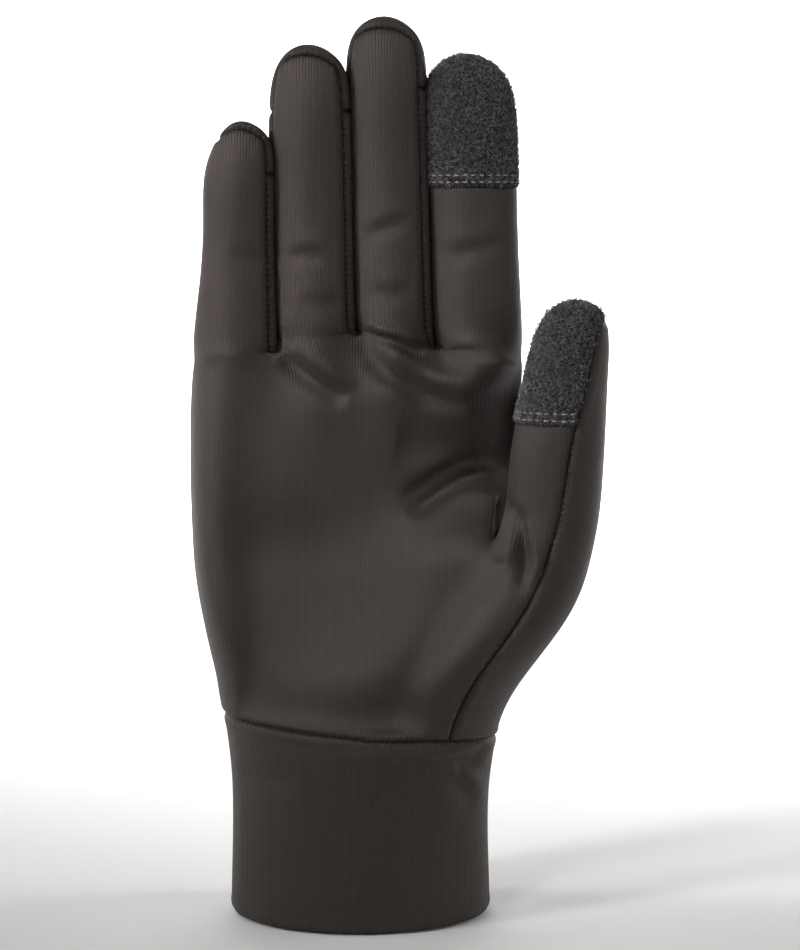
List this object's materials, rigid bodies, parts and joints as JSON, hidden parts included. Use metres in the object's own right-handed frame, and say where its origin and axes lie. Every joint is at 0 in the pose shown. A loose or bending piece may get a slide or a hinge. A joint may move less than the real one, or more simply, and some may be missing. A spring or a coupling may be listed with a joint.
{
  "type": "glove liner",
  "caption": "Right-hand knitted glove liner shown as worn, with cut-and-sewn panels, finger side strips, brushed fingertip patches and a doubled wrist cuff.",
  "frame": {"origin": "centre of the cuff's mouth", "axes": "+Z from the cuff towards the fingertips, palm towards -Y, thumb towards +X"},
  "size_m": [0.11, 0.0589, 0.2414],
  "materials": {
    "knit": "fine stretch knit, matte, dark warm grey",
    "touch_pad": "brushed, fleecy, dark neutral grey",
    "cuff_knit": "the same knit, doubled, with a folded edge"
  },
  "bodies": {
    "root": {"palm_panel": "knit", "back_panel": "knit", "little_ring_fourchette": "knit", "ring_middle_fourchette": "knit", "middle_index_fourchette": "knit", "index_touch_pad": "touch_pad", "thumb_touch_pad": "touch_pad", "cuff": "cuff_knit"}
  },
  "joints": []
}
